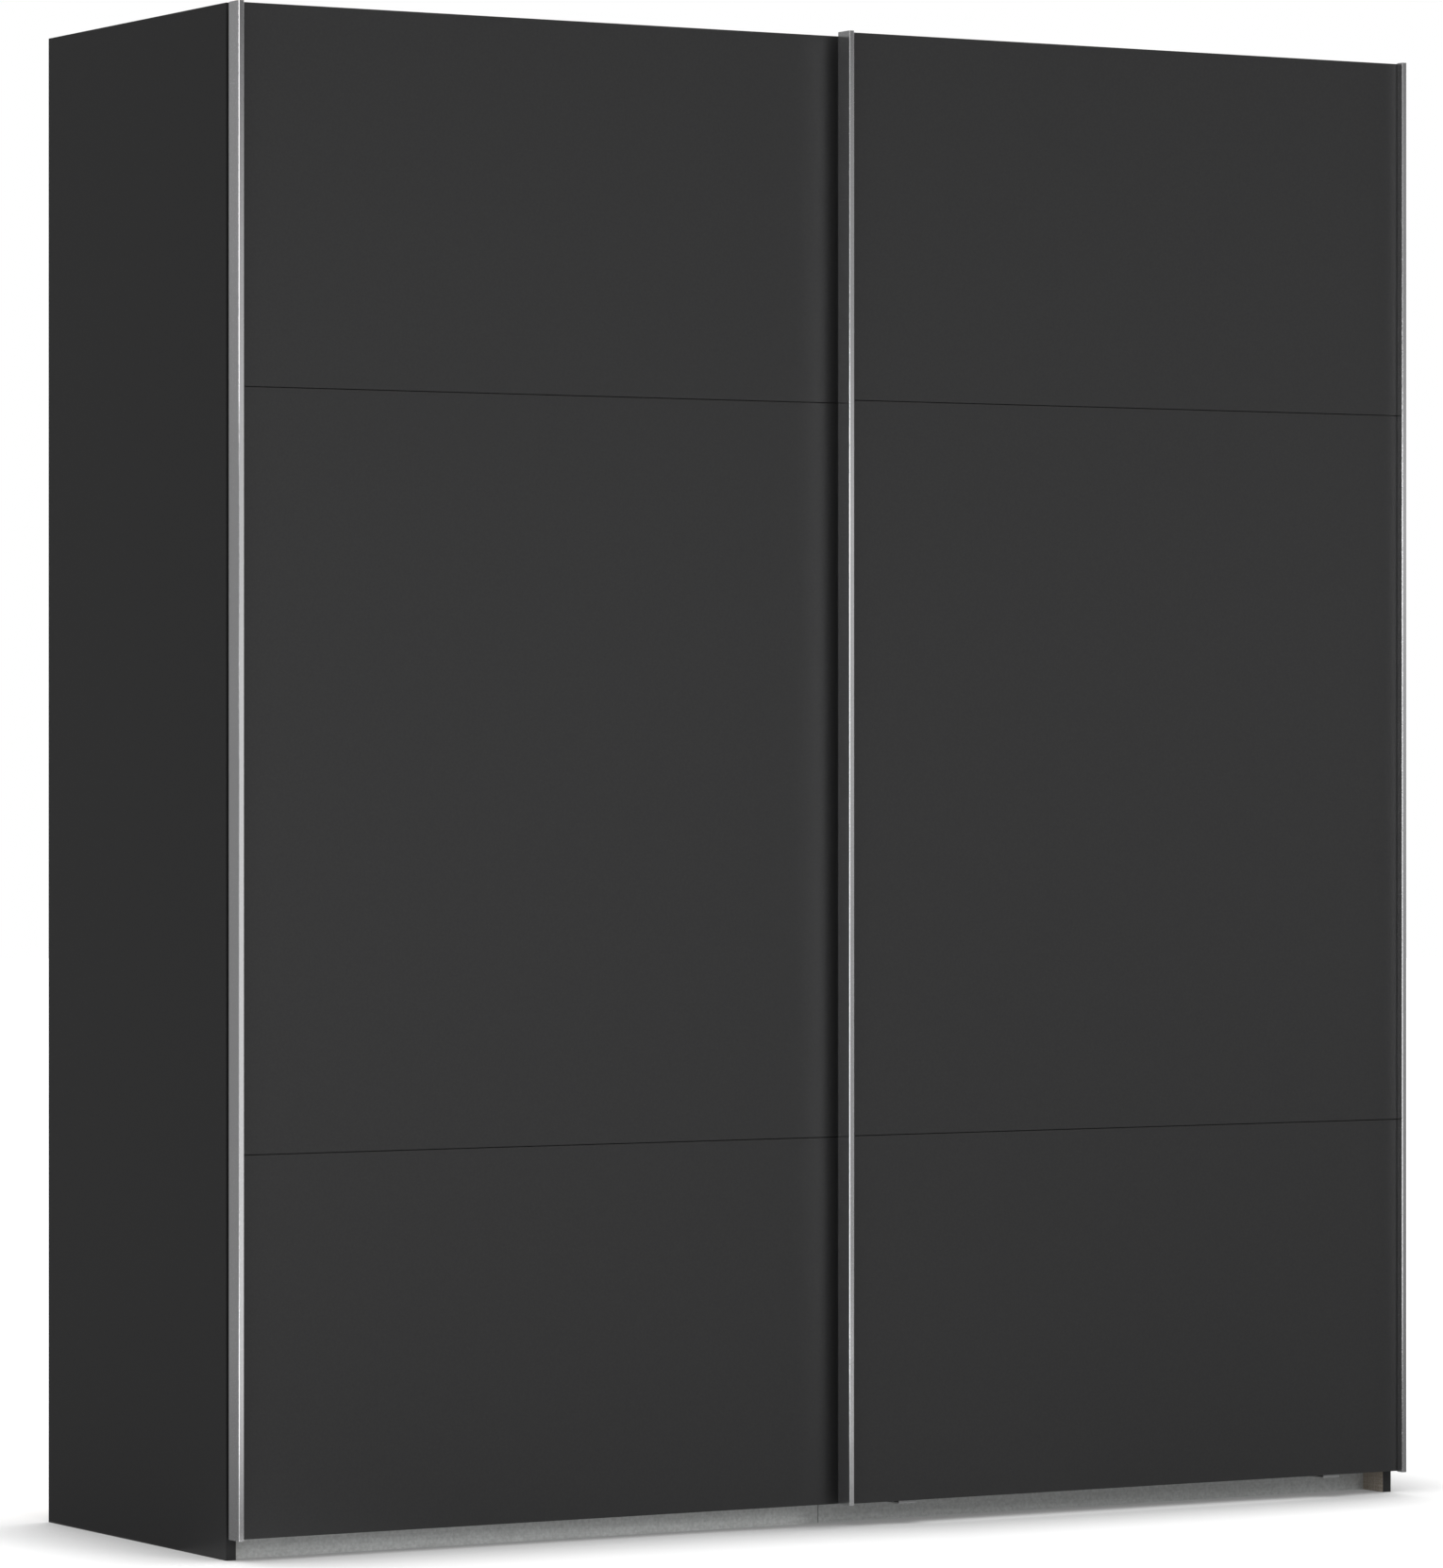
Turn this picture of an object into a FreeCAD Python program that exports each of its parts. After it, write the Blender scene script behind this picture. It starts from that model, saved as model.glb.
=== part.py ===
import FreeCAD, Part
import collections
import math
import os

# Two-door sliding wardrobe, in millimetres. +Z is up and +Y runs from the doors to the back.
# The origin is on the floor, under the middle of the closed wardrobe.
# Each door hangs by two rollers from a double running rail behind its top edge and is steered
# by a guide rail behind its bottom edge. The inner (left) door runs behind the outer (right)
# door, so the outer door's fittings pass over and under the inner door.

# Carcass
carcass_width = 2000.0
side_height = 2220.0
overall_depth = 680.0
board_thickness = 16.0
edge_break = 0.4
fit_gap = 0.2
back_thickness = 3.0
back_setback = 10.0
back_groove_depth = 5.5
back_groove_spare = 0.5
plinth_height = 62.0
plinth_setback = 16.0
plinth_seam = 1.2
joint_strip_thickness = 2.0

# Interior
hat_space_height = 300.0
shelf_setback = 40.0
shelf_side_gap = 0.5
pin_radius = 2.5
pin_depth = 6.0
pin_reach = 9.0
pin_inset = 60.0
pin_fit = 0.1
clothes_rail_height = 30.0
clothes_rail_width = 15.0
clothes_rail_wall = 1.2
clothes_rail_drop = 46.0
cup_floor = 3.0
cup_wall = 2.5
cup_length = 14.0

# Doors
door_overlap = 20.0
door_floor_gap = 32.0
door_top_drop = 1.0
outer_door_rise = 3.0
door_gap = 9.0
end_panel_height = 546.25
panel_joint = 1.0
spline_thickness = 4.0
spline_height = 16.0

# Extruded grip strips on the long edges of the doors
strip_lip = 15.0
strip_face = 8.0
strip_web = 2.0
strip_wall = 1.5
strip_flange = 2.0
strip_flange_width = 12.0
strip_corner_radius = 0.8
strip_shadow_groove = 1.2
strip_overhang = 1.0
track_clearance = 3.0
plug_depth = 6.0

# Double running rail, rollers, hangers and end stops
rail_wall = 2.0
rail_lip_height = 8.0
rail_rear_height = 22.0
rail_margin = 22.0
rail_end_gap = 0.5
rib_pitch = 28.0
rib_thickness = 2.4
bead_radius = 2.0
bead_height = 16.0
running_clearance = 0.3
roller_radius = 12.5
roller_width = 9.0
roller_groove = 2.8
roller_side_gap = 1.0
roller_headroom = 3.5
axle_radius = 3.0
axle_fit = 0.05
axle_head_radius = 5.0
axle_head = 1.2
hanger_plate = 2.0
hanger_bend = 1.0
hanger_length = 90.0
hanger_height = 70.0
hanger_inset = 120.0
hanger_foot = 11.0
plate_corner_cut = 6.0
bridge_clearance = 1.0
inner_stop_gap = 9.0
stop_length = 30.0
stop_front = 12.0
stop_back = 6.0
stop_rise = 10.0
buffer_width = 8.0
buffer_length = 6.0
buffer_nose = 1.5

# Bottom guide rail, guide shoes and the outer door's guide arms
guide_wall = 1.5
guide_depth = 14.0
guide_channel = 12.0
guide_slot = 6.0
guide_flange_drop = 2.0
shoe_play = 0.5
shoe_length = 50.0
shoe_base = 4.0
shoe_base_height = 40.0
shoe_base_margin = 2.0
arm_plate = 2.0
arm_bend = 1.0
arm_width = 30.0
arm_height = 50.0
arm_clearance = 0.5
arm_door_clearance = 4.0

# Planes from front to back
rear_y = overall_depth / 2
strip_depth = strip_lip + board_thickness + strip_flange
track_pitch = strip_depth + track_clearance
outer_front_y = -overall_depth / 2
inner_front_y = outer_front_y + track_pitch
left_front_y = inner_front_y + strip_depth + door_gap
right_front_y = outer_front_y + strip_depth + door_gap
board_front_y = left_front_y + rail_wall
plinth_front_y = left_front_y + plinth_setback
back_y = (rear_y - back_setback - back_thickness, rear_y - back_setback)
board_rear_y = back_y[0] - fit_gap
front_rib_y = left_front_y + rail_margin
rear_rib_y = front_rib_y + rib_pitch
rail_rear_y = rear_rib_y + rail_margin

# Planes from left to right
half_width = carcass_width / 2
left_inner_x = board_thickness - half_width
right_inner_x = half_width - board_thickness
half_partition = board_thickness / 2
bays = {"left": (left_inner_x, -half_partition), "right": (half_partition, right_inner_x)}
door_width = half_width + door_overlap / 2
rail_xs = (left_inner_x + rail_end_gap, right_inner_x - rail_end_gap)

# Levels
inner_top_z = side_height - door_top_drop
door_height = inner_top_z - door_floor_gap
inner_strip_top_z = inner_top_z + strip_overhang
axle_z = inner_top_z - hanger_plate - roller_headroom - roller_radius
bead_top_z = axle_z - roller_radius + roller_groove - running_clearance
bead_z = bead_top_z - bead_radius
rail_z = bead_top_z - bead_height
rail_floor_z = rail_z + rail_wall
top_board_z = (rail_z - board_thickness, rail_z)
bottom_board_z = (plinth_height, plinth_height + board_thickness)
shelf_top_z = top_board_z[0] - hat_space_height
shelf_z = (shelf_top_z - board_thickness, shelf_top_z)
pin_z = shelf_z[0] - pin_radius - pin_fit
clothes_rail_z = shelf_z[0] - clothes_rail_drop
clothes_rail_y = (board_front_y + board_rear_y) / 2
channel_pitch = guide_channel + guide_wall
guide_z = plinth_height - 2 * channel_pitch - guide_wall
lower_channel_z = guide_z + guide_wall + guide_channel / 2
upper_channel_z = lower_channel_z + channel_pitch
arm_top_z = door_floor_gap - strip_overhang - arm_clearance

# A door is placed by its left edge, front face, bottom edge, the rib its rollers run on and
# the level at which its hangers bridge the gap to the running rail.
Door = collections.namedtuple("Door", "name left front low rib_y bridge_z")
inner_door = Door(
    "inner_door", -half_width, inner_front_y, door_floor_gap, front_rib_y, inner_top_z
)
outer_door = Door(
    "outer_door",
    half_width - door_width,
    outer_front_y,
    door_floor_gap + outer_door_rise,
    rear_rib_y,
    inner_strip_top_z + bridge_clearance + hanger_plate,
)
inner_travel = right_inner_x - inner_stop_gap - (inner_door.left + door_width)
outer_travel = outer_door.left + half_width


# Shapes that every group of pieces uses ------------------------------------------------------


def vec(x, y, z):
    return FreeCAD.Vector(x, y, z)


def slab(xs, ys, zs):
    """Box between the low and high value of each axis."""
    corner = vec(xs[0], ys[0], zs[0])
    return Part.makeBox(xs[1] - xs[0], ys[1] - ys[0], zs[1] - zs[0], corner)


def rod_x(span, y, z, radius):
    """Round bar along X."""
    return Part.makeCylinder(radius, span[1] - span[0], vec(span[0], y, z), vec(1, 0, 0))


def outline(start, *steps):
    """Face inside an outline: a step is a corner, or a pair (point on an arc, end of the arc)."""
    edges = []
    here = start
    for step in steps + (start,):
        if isinstance(step, tuple):
            edges.append(Part.Arc(here, step[0], step[1]).toShape())
            here = step[1]
        else:
            edges.append(Part.makeLine(here, step))
            here = step
    return Part.Face(Part.Wire(edges))


def extruded_rail(start, steps):
    """Profile at the left end of a rail, drawn out to its right end."""
    return outline(start, *steps).extrude(vec(rail_xs[1] - rail_xs[0], 0, 0))


def banded(board, ys=(), zs=()):
    """Board with the sharp edges taken off its banded faces, which are named by their planes."""

    def on_banded_face(edge):
        box = edge.BoundBox
        across = [(box.YMin, box.YMax, plane) for plane in ys]
        across += [(box.ZMin, box.ZMax, plane) for plane in zs]
        return any(abs(low - at) + abs(high - at) < 1e-6 for low, high, at in across)

    return board.makeChamfer(edge_break, [edge for edge in board.Edges if on_banded_face(edge)])


def turned(x, z, steps):
    """Solid turned about an axle along Y: each step is (y, radius)."""
    points = [vec(x, y, z + radius) for y, radius in steps]
    face = Part.Face(Part.makePolygon(points + points[:1]))
    return face.revolve(vec(x, 0, z), vec(0, 1, 0), 360)


def bent_plate(x, width, back, rear, foot, end, bridge, toward, plate, bend):
    """Plate bent twice: along the back of a door to a bridge level, across, and back again.

    It runs from the level foot on the plane back, over or under the inner door, to the level
    end on the plane rear. toward is 1 where the bridge is above, -1 where it is below. The
    corners of its foot are cut off.
    """
    outside = bend + plate
    corner = 1 - math.sqrt(0.5)

    def at(y, depth):
        return vec(x - width / 2, y, bridge - toward * depth)

    outer_mid = outside * corner
    inner_mid = plate + bend * corner
    face = outline(
        vec(x - width / 2, back, foot),
        at(back, outside),
        (at(back + outer_mid, outer_mid), at(back + outside, 0)),
        at(rear - outside, 0),
        (at(rear - outer_mid, outer_mid), at(rear, outside)),
        vec(x - width / 2, rear, end),
        vec(x - width / 2, rear - plate, end),
        at(rear - plate, outside),
        (at(rear - inner_mid, inner_mid), at(rear - outside, plate)),
        at(back + outside, plate),
        (at(back + inner_mid, inner_mid), at(back + plate, outside)),
        vec(x - width / 2, back + plate, foot),
    )
    bent = face.extrude(vec(width, 0, 0))

    def at_foot_corner(edge):
        box = edge.BoundBox
        return box.XLength + box.ZLength < 1e-6 and abs(box.ZMin - foot) < 1e-6

    return bent.makeChamfer(plate_corner_cut, [edge for edge in bent.Edges if at_foot_corner(edge)])


def export(shape, name):
    shape.exportStep("parts/" + name + ".step")


def export_group(solids, name):
    export(Part.Compound(solids), name)


# Shelf pins and clothes rails ----------------------------------------------------------------


def shelf_ys():
    return (board_front_y + shelf_setback, board_rear_y - fit_gap)


def shelf_pins(slack=0.0):
    """Pins under both shelves, or with slack, their bores.

    Those in the side panels are blind, those in the partition go through and serve both bays.
    """
    front, rear = shelf_ys()
    through = half_partition + pin_reach
    spans = (
        (left_inner_x - pin_depth, left_inner_x + pin_reach),
        (-through, through),
        (right_inner_x - pin_reach, right_inner_x + pin_depth),
    )
    pins = []
    for low, high in spans:
        for y in (front + pin_inset, rear - pin_inset):
            pins.append(rod_x((low - slack, high + slack), y, pin_z, pin_radius + slack))
    return pins


def upright_bar(span, grow, closed):
    """Bar along X on the line of the clothes rails, round below and round or open above."""
    y, z = clothes_rail_y, clothes_rail_z
    radius = clothes_rail_width / 2 + grow
    side = (clothes_rail_height - clothes_rail_width) / 2
    x = span[0]
    steps = [(vec(x, y, z - side - radius), vec(x, y + radius, z - side))]
    if closed:
        steps += [
            vec(x, y + radius, z + side),
            (vec(x, y, z + side + radius), vec(x, y - radius, z + side)),
        ]
    else:
        top = z + clothes_rail_height / 2
        steps += [vec(x, y + radius, top), vec(x, y - radius, top)]
    face = outline(vec(x, y - radius, z - side), *steps)
    return face.extrude(vec(span[1] - span[0], 0, 0))


def clothes_rail(bay):
    """Oval steel tube between the floors of its two end cups."""
    span = (bay[0] + cup_floor + fit_gap, bay[1] - cup_floor - fit_gap)
    return upright_bar(span, 0, True).cut(upright_bar(span, -clothes_rail_wall, True))


def rail_cup(wall_x, inward):
    """End cup on a wall, open above so that the tube drops in."""
    mouth = wall_x + inward * cup_length
    body = upright_bar(sorted((wall_x, mouth)), cup_wall + fit_gap, False)
    socket = sorted((wall_x + inward * cup_floor, mouth))
    return body.cut(upright_bar(socket, fit_gap, False))


# Carcass boards ------------------------------------------------------------------------------


def back_grooves():
    """Grooves in the sides and the partition that hold the back panels."""
    ys = (back_y[0] - fit_gap, back_y[1] + fit_gap)
    grooves = []
    for low, high in bays.values():
        for xs in ((low - back_groove_depth, low), (high, high + back_groove_depth)):
            grooves.append(slab(xs, ys, (0, side_height)))
    return grooves


def side_panel(xs, front):
    panel = slab(xs, (front, rear_y), (0, side_height))
    panel = banded(panel, ys=(front, rear_y), zs=(0, side_height))
    return panel.cut(back_grooves() + shelf_pins(pin_fit))


def centre_partition():
    """Divider up to the running rail, cut back at its foot behind plinth and guide rail."""
    xs = (-half_partition, half_partition)
    panel = slab(xs, (board_front_y, rear_y - back_setback + fit_gap), (0, rail_z))
    panel = banded(panel, ys=(board_front_y,))
    foot_y = plinth_front_y + joint_strip_thickness
    foot = slab(xs, (board_front_y, foot_y), (0, bottom_board_z[1]))
    return panel.cut([foot] + back_grooves() + shelf_pins(pin_fit))


def level_board(bay, front, zs):
    """Top or bottom board of one bay."""
    return banded(slab(bay, (front, board_rear_y), zs), ys=(front,))


def back_panel(bay):
    grip = back_groove_depth - back_groove_spare
    return slab((bay[0] - grip, bay[1] + grip), back_y, (plinth_height, rail_z))


def hat_shelf(bay):
    xs = (bay[0] + shelf_side_gap, bay[1] - shelf_side_gap)
    ys = shelf_ys()
    return banded(slab(xs, ys, shelf_z), ys=(ys[0],))


def plinth_board(xs, front, thickness):
    return slab(xs, (front, front + thickness), (0, plinth_height))


# Running rail --------------------------------------------------------------------------------


def running_rail():
    """Aluminium extrusion: fascia over the top boards' edges, two beaded ribs, a rear wall."""
    x = rail_xs[0]
    lip_z = rail_floor_z + rail_lip_height
    rear_z = rail_z + rail_rear_height
    half_rib = rib_thickness / 2
    neck_z = bead_z - math.sqrt(bead_radius**2 - half_rib**2)
    steps = [
        vec(x, left_front_y, lip_z),
        vec(x, board_front_y, lip_z),
        vec(x, board_front_y, rail_floor_z),
    ]
    for rib_y in (front_rib_y, rear_rib_y):
        steps += [
            vec(x, rib_y - half_rib, rail_floor_z),
            vec(x, rib_y - half_rib, neck_z),
            (vec(x, rib_y, bead_top_z), vec(x, rib_y + half_rib, neck_z)),
            vec(x, rib_y + half_rib, rail_floor_z),
        ]
    steps += [
        vec(x, rail_rear_y - rail_wall, rail_floor_z),
        vec(x, rail_rear_y - rail_wall, rear_z),
        vec(x, rail_rear_y, rear_z),
        vec(x, rail_rear_y, rail_z),
        vec(x, board_front_y, rail_z),
        vec(x, board_front_y, top_board_z[0]),
    ]
    return extruded_rail(vec(x, left_front_y, top_board_z[0]), steps)


def hanger_xs(door):
    return (door.left + hanger_inset, door.left + door_width - hanger_inset)


def stop_places():
    """Buffer tip, direction away from the door, and rib of each end stop."""
    reach = hanger_length / 2 + running_clearance
    inner_low, inner_high = hanger_xs(inner_door)
    outer_low, outer_high = hanger_xs(outer_door)
    return (
        (inner_low - reach, -1, front_rib_y),
        (inner_high + reach + inner_travel, 1, front_rib_y),
        (outer_low - reach - outer_travel, -1, rear_rib_y),
        (outer_high + reach, 1, rear_rib_y),
    )


def end_stop(tip_x, outward, rib_y):
    """Block that straddles a rib and rests on the rail's floor."""
    near = tip_x + outward * buffer_length
    xs = sorted((near, near + outward * stop_length))
    block = slab(xs, (rib_y - stop_front, rib_y + stop_back), (rail_floor_z, axle_z + stop_rise))
    half_slot = bead_radius + running_clearance
    slot = slab(xs, (rib_y - half_slot, rib_y + half_slot), (rail_floor_z, bead_z + half_slot))
    return block.cut(slot)


def stop_buffer(tip_x, outward, rib_y):
    """Rubber pad that meets the edge of a hanger plate, its nose chamfered."""
    xs = sorted((tip_x, tip_x + outward * buffer_length))
    y = carriage_y(rib_y) - hanger_plate / 2
    half = buffer_width / 2
    pad = slab(xs, (y - half, y + half), (axle_z - half, axle_z + half))
    nose = [edge for edge in pad.Edges if abs(edge.BoundBox.Center.x - tip_x) < buffer_nose]
    return pad.makeChamfer(buffer_nose, nose)


# Doors ---------------------------------------------------------------------------------------


def board_back_y(door):
    return door.front + strip_lip + board_thickness


def panel_levels(door):
    """Low and high level of the lower, middle and upper panel of a door."""
    top = door.low + door_height
    lower_top = door.low + end_panel_height
    upper_low = top - end_panel_height
    return {
        "lower": (door.low, lower_top),
        "middle": (lower_top + panel_joint, upper_low - panel_joint),
        "upper": (upper_low, top),
    }


def panel_xs(door):
    inset = strip_web + fit_gap
    return (door.left + inset, door.left + door_width - inset)


def joint_splines(door, slack=0.0):
    """Tongues that align the stacked panels, or with slack, their grooves."""
    levels = panel_levels(door)
    middle = door.front + strip_lip + board_thickness / 2
    half = spline_thickness / 2 + slack
    reach = spline_height / 2 + slack
    splines = []
    for z in (levels["lower"][1] + panel_joint / 2, levels["upper"][0] - panel_joint / 2):
        splines.append(slab(panel_xs(door), (middle - half, middle + half), (z - reach, z + reach)))
    return splines


def door_panel(door, level):
    zs = panel_levels(door)[level]
    ys = (door.front + strip_lip, board_back_y(door))
    return banded(slab(panel_xs(door), ys, zs), zs=zs).cut(joint_splines(door, fit_gap))


def strip_edge(door, inward):
    """Outer edge of a grip strip, left where inward is 1 and right where it is -1."""
    return door.left if inward > 0 else door.left + door_width


def grip_strip(door, inward):
    """Extruded strip: hollow grip lip in front, web over the panel edge, flange behind."""
    low = door.low - strip_overhang
    high = door.low + door_height + strip_overhang
    radius = strip_corner_radius
    middle = radius * (1 - math.sqrt(0.5))
    groove_v = strip_lip - strip_shadow_groove

    def at(u, v):
        return vec(strip_edge(door, inward) + inward * u, door.front + v, low)

    face = outline(
        at(0, strip_depth),
        at(0, radius),
        (at(middle, middle), at(radius, 0)),
        at(strip_face - radius, 0),
        (at(strip_face - middle, middle), at(strip_face, radius)),
        at(strip_face, groove_v),
        at(strip_face - strip_shadow_groove, groove_v),
        at(strip_face - strip_shadow_groove, strip_lip),
        at(strip_web, strip_lip),
        at(strip_web, strip_depth - strip_flange),
        at(strip_flange_width, strip_depth - strip_flange),
        at(strip_flange_width, strip_depth),
    )
    return face.extrude(vec(0, 0, high - low)).cut(lip_core(door, inward, (low, high), 0))


def lip_core(door, inward, zs, gap):
    """Bar inside the hollow grip lip, a gap clear of its walls."""
    edge = strip_edge(door, inward)
    inset = strip_wall + gap
    xs = sorted((edge + inward * inset, edge + inward * (strip_face - inset)))
    return slab(xs, (door.front + inset, door.front + strip_lip - strip_shadow_groove - inset), zs)


def end_plugs(door):
    """Plugs that close the grip lips at the top and the bottom."""
    low = door.low - strip_overhang
    high = door.low + door_height + strip_overhang
    plugs = []
    for inward in (1, -1):
        for zs in ((low, low + plug_depth), (high - plug_depth, high)):
            plugs.append(lip_core(door, inward, zs, fit_gap / 2))
    return plugs


def carriage_y(rib_y):
    """Rear face of the hanger plates that carry the rollers of a rib."""
    return rib_y - roller_width / 2 - roller_side_gap


def hanger(door, x):
    """Bent steel plate from the back of the door over the gap down to its roller."""
    foot = door.low + door_height - hanger_height
    rear = carriage_y(door.rib_y)
    plate = bent_plate(
        x,
        hanger_length,
        board_back_y(door),
        rear,
        foot,
        axle_z - hanger_foot,
        door.bridge_z,
        1,
        hanger_plate,
        hanger_bend,
    )
    bore = Part.makeCylinder(
        axle_radius + axle_fit, hanger_plate, vec(x, rear - hanger_plate, axle_z), vec(0, 1, 0)
    )
    return plate.cut(bore)


def axle(door, x):
    """Axle set flush in the hanger plate, with a head that keeps the roller on."""
    end = door.rib_y + roller_width / 2 + roller_side_gap
    steps = (
        (carriage_y(door.rib_y) - hanger_plate, 0),
        (carriage_y(door.rib_y) - hanger_plate, axle_radius),
        (end, axle_radius),
        (end, axle_head_radius),
        (end + axle_head, axle_head_radius),
        (end + axle_head, 0),
    )
    return turned(x, axle_z, steps)


def roller(door, x):
    """Grooved roller that straddles the bead of its rib."""
    y = door.rib_y
    half = roller_width / 2
    half_groove = bead_radius + running_clearance
    bore = axle_radius + axle_fit
    steps = (
        (y - half, bore),
        (y - half, roller_radius),
        (y - half_groove, roller_radius),
        (y - half_groove, roller_radius - roller_groove),
        (y + half_groove, roller_radius - roller_groove),
        (y + half_groove, roller_radius),
        (y + half, roller_radius),
        (y + half, bore),
    )
    return turned(x, axle_z, steps)


# Bottom guides -------------------------------------------------------------------------------


def guide_rail():
    """Aluminium extrusion: two slotted channels, and a flange on the bottom boards' edges."""
    x = rail_xs[0]
    web = plinth_front_y - guide_wall
    front = plinth_front_y - guide_depth
    lip = front + guide_wall
    flange_z = bottom_board_z[1] - guide_flange_drop
    steps = [vec(x, front, guide_z)]
    for middle in (lower_channel_z, upper_channel_z):
        floor = middle - guide_channel / 2
        roof = middle + guide_channel / 2
        steps += [
            vec(x, front, middle - guide_slot / 2),
            vec(x, lip, middle - guide_slot / 2),
            vec(x, lip, floor),
            vec(x, web, floor),
            vec(x, web, roof),
            vec(x, lip, roof),
            vec(x, lip, middle + guide_slot / 2),
            vec(x, front, middle + guide_slot / 2),
        ]
    steps += [
        vec(x, front, plinth_height),
        vec(x, web, plinth_height),
        vec(x, web, flange_z),
        vec(x, plinth_front_y, flange_z),
    ]
    return extruded_rail(vec(x, plinth_front_y, guide_z), steps)


def shoe_outline(x, near, middle):
    """Neck and head of a guide shoe, from its near end into a channel of the guide rail."""
    lip = plinth_front_y - guide_depth + guide_wall + shoe_play
    deep = plinth_front_y - guide_wall - shoe_play
    neck = guide_slot / 2 - shoe_play
    head = guide_channel / 2 - shoe_play
    return [
        vec(x, near, middle - neck),
        vec(x, lip, middle - neck),
        vec(x, lip, middle - head),
        vec(x, deep, middle - head),
        vec(x, deep, middle + head),
        vec(x, lip, middle + head),
        vec(x, lip, middle + neck),
        vec(x, near, middle + neck),
    ]


def inner_shoe(x):
    """Moulded shoe: base plate on the back of the door, neck and head in the upper channel."""
    start = x - shoe_length / 2
    front = board_back_y(inner_door)
    near = front + shoe_base
    low = upper_channel_z - guide_slot / 2 - shoe_base_margin
    high = low + shoe_base_height
    steps = [vec(start, near, low)] + shoe_outline(start, near, upper_channel_z)
    steps += [vec(start, near, high), vec(start, front, high)]
    return outline(vec(start, front, low), *steps).extrude(vec(shoe_length, 0, 0))


def arm_rear_y():
    """Rear face of the arm's upright, between the inner door and the guide rail."""
    return inner_front_y + strip_depth + arm_door_clearance + arm_plate


def guide_arm(x):
    """Bent steel arm: down the back of the outer door, under the inner door and up behind it."""
    underside = arm_top_z - arm_plate
    return bent_plate(
        x,
        arm_width,
        board_back_y(outer_door),
        arm_rear_y(),
        underside + arm_height,
        lower_channel_z + guide_slot / 2,
        underside,
        -1,
        arm_plate,
        arm_bend,
    )


def outer_shoe(x):
    """Moulded shoe on the arm, its head in the lower channel."""
    corners = shoe_outline(x - shoe_length / 2, arm_rear_y(), lower_channel_z)
    return outline(*corners).extrude(vec(shoe_length, 0, 0))


# Build ---------------------------------------------------------------------------------------


def build_carcass():
    export(side_panel((-half_width, left_inner_x), left_front_y), "left_side_panel")
    export(side_panel((right_inner_x, half_width), right_front_y), "right_side_panel")
    export(centre_partition(), "centre_partition")
    joint_strip = (-half_partition, half_partition)
    plinths = {
        "left": (left_inner_x, joint_strip[0] - plinth_seam),
        "right": (joint_strip[1] + fit_gap, right_inner_x),
    }
    export(plinth_board(joint_strip, plinth_front_y, joint_strip_thickness), "plinth_joint_strip")
    for side, bay in bays.items():
        export(level_board(bay, board_front_y, top_board_z), side + "_top_board")
        export(level_board(bay, plinth_front_y, bottom_board_z), side + "_bottom_board")
        plinth = plinth_board(plinths[side], plinth_front_y, board_thickness)
        export(plinth, side + "_plinth_board")
        rear_plinth = plinth_board(bay, board_rear_y - board_thickness, board_thickness)
        export(rear_plinth, side + "_rear_plinth_board")
        export(back_panel(bay), side + "_back_panel")
        export(hat_shelf(bay), side + "_hat_shelf")
        export(clothes_rail(bay), side + "_clothes_rail")
        export_group([rail_cup(bay[0], 1), rail_cup(bay[1], -1)], side + "_clothes_rail_cups")
    export_group(shelf_pins(), "shelf_pins")


def build_rails():
    export(running_rail(), "top_running_rail")
    export_group([end_stop(*place) for place in stop_places()], "rail_end_stops")
    export_group([stop_buffer(*place) for place in stop_places()], "stop_buffers")
    export(guide_rail(), "bottom_guide_rail")


def build_door(door):
    for level in ("upper", "middle", "lower"):
        export(door_panel(door, level), door.name + "_" + level + "_panel")
    export_group(joint_splines(door), door.name + "_joint_splines")
    export_group(end_plugs(door), door.name + "_strip_plugs")
    export_group([axle(door, x) for x in hanger_xs(door)], door.name + "_roller_axles")
    for side, inward, x in zip(("left", "right"), (1, -1), hanger_xs(door)):
        export(grip_strip(door, inward), door.name + "_" + side + "_grip_strip")
        export(hanger(door, x), door.name + "_" + side + "_hanger")
        export(roller(door, x), door.name + "_" + side + "_roller")


def build_guides():
    export_group([inner_shoe(x) for x in hanger_xs(inner_door)], "inner_door_guide_shoes")
    export_group([outer_shoe(x) for x in hanger_xs(outer_door)], "outer_door_guide_shoes")
    export_group([guide_arm(x) for x in hanger_xs(outer_door)], "outer_door_guide_arms")


os.makedirs("parts", exist_ok=True)
build_carcass()
build_rails()
build_door(inner_door)
build_door(outer_door)
build_guides()
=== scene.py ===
import math

import bpy
from mathutils import Matrix, Vector


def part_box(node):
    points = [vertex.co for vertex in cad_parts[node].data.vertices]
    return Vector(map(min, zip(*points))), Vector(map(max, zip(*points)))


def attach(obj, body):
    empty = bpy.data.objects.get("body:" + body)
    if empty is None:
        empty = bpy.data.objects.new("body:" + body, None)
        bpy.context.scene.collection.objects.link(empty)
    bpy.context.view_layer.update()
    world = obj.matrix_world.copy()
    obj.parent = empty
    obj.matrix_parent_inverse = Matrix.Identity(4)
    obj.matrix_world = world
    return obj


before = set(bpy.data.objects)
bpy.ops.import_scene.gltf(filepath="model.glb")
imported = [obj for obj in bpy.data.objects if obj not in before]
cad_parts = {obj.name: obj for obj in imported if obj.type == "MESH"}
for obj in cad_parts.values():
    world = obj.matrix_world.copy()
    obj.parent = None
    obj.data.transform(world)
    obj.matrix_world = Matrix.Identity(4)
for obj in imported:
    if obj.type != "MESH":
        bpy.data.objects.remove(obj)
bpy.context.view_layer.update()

scene = bpy.context.scene

# ---- Studio --------------------------------------------------------------------------------
# A white studio: a white floor that carries painted shade near the wardrobe, an even dome and
# one large soft lamp low in front, on the right. Gloss also mirrors cards and floor cloths that
# the lens doesn't see, and the bright ones among them are for the grip strips alone.


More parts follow.
